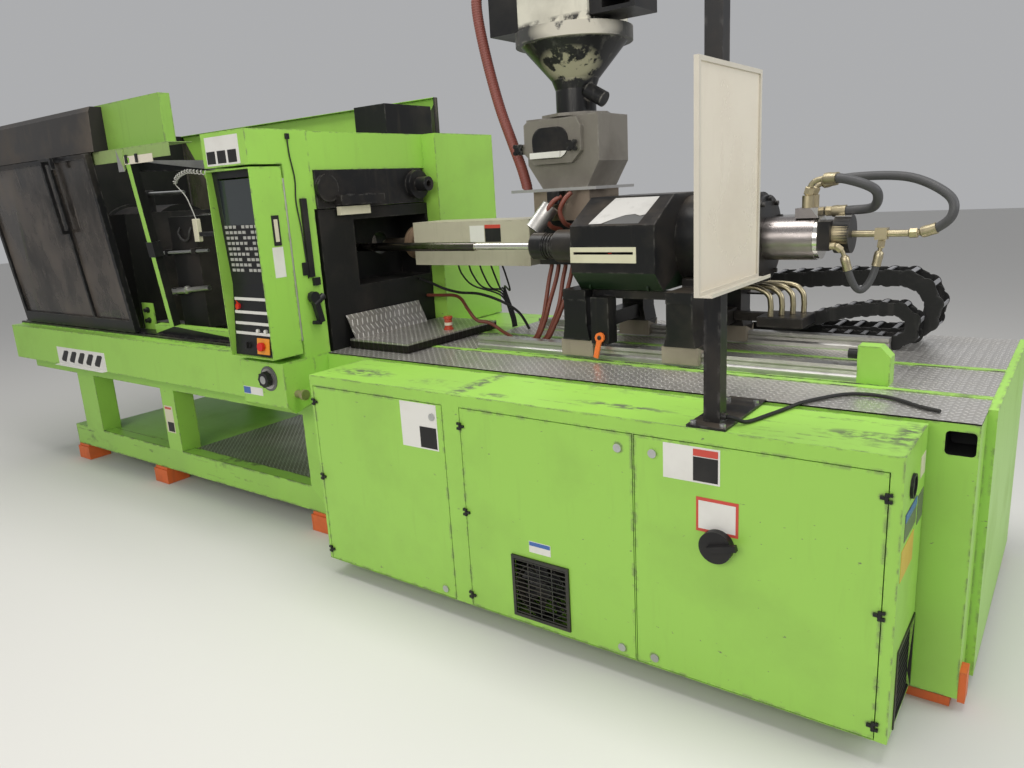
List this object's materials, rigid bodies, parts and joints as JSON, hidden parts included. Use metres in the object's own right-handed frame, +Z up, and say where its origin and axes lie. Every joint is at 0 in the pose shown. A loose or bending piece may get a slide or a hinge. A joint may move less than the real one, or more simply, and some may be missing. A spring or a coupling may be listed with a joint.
{
  "type": "injection moulding machine",
  "caption": "Horizontal injection moulding machine with green frame, sliding gate, operator console, electric cabinet, hopper and open injection unit on guide rails.",
  "frame": {"origin": "middle of the machine's footprint at floor level", "axes": "+X along the machine from the clamp end to the injection end, +Y from the operator side to the rear, +Z up"},
  "size_m": [5.69, 1.777, 2.5],
  "materials": {
    "green_paint": "gloss",
    "hood_paint": "satin",
    "black_paint": "satin",
    "dark_steel": "rough",
    "bright_steel": "worn",
    "chrome_rod": "polished",
    "treadplate": "worn",
    "heat_steel": "heat tinted",
    "beige_paint": "satin",
    "cast_grey": "cast",
    "foot_orange": "satin",
    "tag_orange": "satin",
    "hopper_cream": "satin",
    "hose_rubber": "matt",
    "hose_red": "matt",
    "hose_ribbed": "matt",
    "chain_plastic": "matt",
    "panel_black": "satin",
    "button_red": "gloss",
    "knob_black": "satin",
    "board_white": "gloss",
    "smoked_pane": "smoked",
    "zinc_parts": "zinc plated",
    "cable_black": "matt"
  },
  "bodies": {
    "frame": {"clamp_frame": "green_paint", "injection_base": "green_paint", "levelling_feet": "foot_orange", "tread_plates": "treadplate", "step_plate": "treadplate", "end_covers": "green_paint", "fixed_platen": "dark_steel", "platen_rails": "bright_steel", "clamp_cylinder": "dark_steel", "platen_cover": "green_paint", "rear_covers": "green_paint", "platen_drive": "black_paint", "gate_frame": "green_paint", "hood": "hood_paint", "upper_box": "green_paint", "console_post": "green_paint", "knob_box": "green_paint", "cabinet_shell": "green_paint", "switchgear": "zinc_parts", "mast": "black_paint", "whiteboard": "board_white", "injection_rails": "bright_steel", "stop_block": "green_paint", "carriage_rod": "chrome_rod", "chain_front": "chain_plastic", "chain_rear": "chain_plastic", "hand_gun": "panel_black", "mast_cable": "cable_black", "water_hoses": "hose_red"},
    "platen": {"moving_platen": "dark_steel", "clamp_ram": "chrome_rod"},
    "ejector": {"ejector": "bright_steel"},
    "gate": {"gate_door": "black_paint", "gate_panes": "smoked_pane"},
    "carriage": {"carriage_frame": "black_paint", "injection_housing": "black_paint", "injection_cylinder": "black_paint", "rear_cylinder": "chrome_rod", "traverse_cylinder": "black_paint", "barrel": "heat_steel", "barrel_guard": "beige_paint", "nozzle": "heat_steel", "throat_block": "cast_grey", "hopper": "hopper_cream", "hydraulic_hoses": "hose_rubber", "feed_hose": "hose_ribbed"},
    "lever": {"carriage_lever": "tag_orange"},
    "piston": {"injection_piston": "bright_steel"},
    "screw": {"screw": "bright_steel"},
    "console": {"console_housing": "green_paint", "console_panel": "panel_black"},
    "e_stop": {"e_stop": "button_red"},
    "selector": {"selector": "knob_black"},
    "flow_knob": {"flow_knob": "knob_black"},
    "door_1": {"door_1": "green_paint"},
    "door_2": {"door_2": "green_paint", "fan_grille": "zinc_parts"},
    "door_3": {"door_3": "green_paint"},
    "fan": {"fan": "black_paint"},
    "main_switch": {"main_switch": "knob_black"}
  },
  "joints": [
    {"name": "platen_slide", "type": "slide", "parent": "frame", "child": "platen", "axis": [1, 0, 0], "range_m": [-0.05, 0.45]},
    {"name": "ejector_slide", "type": "slide", "parent": "platen", "child": "ejector", "axis": [1, 0, 0], "range_m": [0, 0.1]},
    {"name": "gate_slide", "type": "slide", "parent": "frame", "child": "gate", "axis": [1, 0, 0], "range_m": [0, 1.13]},
    {"name": "carriage_slide", "type": "slide", "parent": "frame", "child": "carriage", "axis": [1, 0, 0], "range_m": [0, 0.4], "deforming": ["chain_front", "chain_rear", "water_hoses"]},
    {"name": "lever_swing", "type": "hinge", "parent": "carriage", "child": "lever", "pos_m": [1.459, -0.1165, 1.005], "axis": [0, 1, 0], "range_deg": [-30, 30]},
    {"name": "piston_slide", "type": "slide", "parent": "carriage", "child": "piston", "axis": [1, 0, 0], "range_m": [-0.09, 0.06]},
    {"name": "screw_turn", "type": "hinge", "parent": "piston", "child": "screw", "pos_m": [0.845, 0.2085, 1.365], "axis": [1, 0, 0], "continuous": true},
    {"name": "console_swing", "type": "hinge", "parent": "frame", "child": "console", "pos_m": [0.141, -0.538, 1.3], "axis": [0, 0, 1], "range_deg": [0, 90]},
    {"name": "e_stop_press", "type": "slide", "parent": "console", "child": "e_stop", "axis": [0, 0.995, -0.0995], "range_m": [0, 0.008]},
    {"name": "selector_turn", "type": "hinge", "parent": "console", "child": "selector", "pos_m": [-0.061, -0.6778, 0.977], "axis": [0, -0.995, 0.0995], "range_deg": [-45, 45]},
    {"name": "flow_knob_turn", "type": "hinge", "parent": "frame", "child": "flow_knob", "pos_m": [0.035, -0.6765, 0.825], "axis": [0, 1, 0], "range_deg": [-135, 135]},
    {"name": "door_1_swing", "type": "hinge", "parent": "frame", "child": "door_1", "pos_m": [0.453, -0.7625, 0.464], "axis": [0, 0, -1], "range_deg": [0, 110]},
    {"name": "door_2_swing", "type": "hinge", "parent": "frame", "child": "door_2", "pos_m": [1.247, -0.7625, 0.464], "axis": [0, 0, -1], "range_deg": [0, 110]},
    {"name": "door_3_swing", "type": "hinge", "parent": "frame", "child": "door_3", "pos_m": [2.658, -0.7625, 0.464], "axis": [0, 0, 1], "range_deg": [0, 110]},
    {"name": "fan_spin", "type": "hinge", "parent": "door_2", "child": "fan", "pos_m": [1.565, -0.7305, 0.217], "axis": [0, 1, 0], "continuous": true},
    {"name": "main_switch_turn", "type": "hinge", "parent": "door_3", "child": "main_switch", "pos_m": [2.212, -0.7765, 0.551], "axis": [0, 1, 0], "range_deg": [0, 90]}
  ]
}
